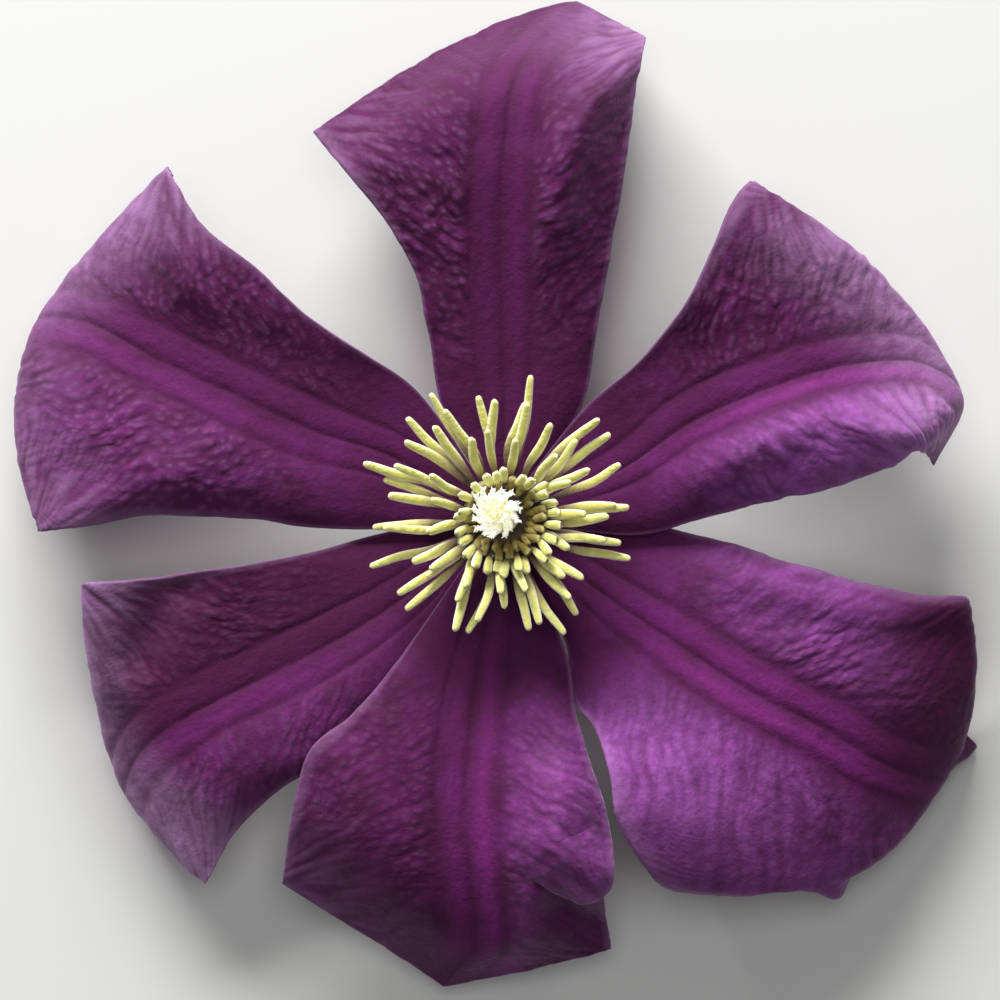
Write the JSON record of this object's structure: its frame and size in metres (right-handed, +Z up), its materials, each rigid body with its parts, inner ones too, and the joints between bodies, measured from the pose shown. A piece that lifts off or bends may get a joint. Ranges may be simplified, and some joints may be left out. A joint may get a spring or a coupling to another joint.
{
  "type": "clematis flower",
  "caption": "Open clematis flower, dark violet velvety tepals with ribbed middles round a boss of cream-yellow stamens, lying face up on its turned-down tips.",
  "frame": {"origin": "on the surface that the flower lies on, under the middle of its outline", "axes": "+Z up, the way the flower faces; +Y towards the top tepal with two sharp corners; +X to the right, looking down on the face"},
  "size_m": [0.0918, 0.0952, 0.0203],
  "materials": {
    "tepal_violet": "matte",
    "tepal_shaded": "matte",
    "stamen_cream": "matte",
    "style_white": "matte",
    "stalk_green": "satin"
  },
  "bodies": {
    "root": {"tepal_top": "tepal_violet", "tepal_upper_right": "tepal_violet", "tepal_lower_right": "tepal_violet", "tepal_bottom": "tepal_violet", "tepal_lower_left": "tepal_shaded", "tepal_upper_left": "tepal_violet", "stamens": "stamen_cream", "pistils": "style_white", "pedicel": "stalk_green"}
  },
  "joints": []
}
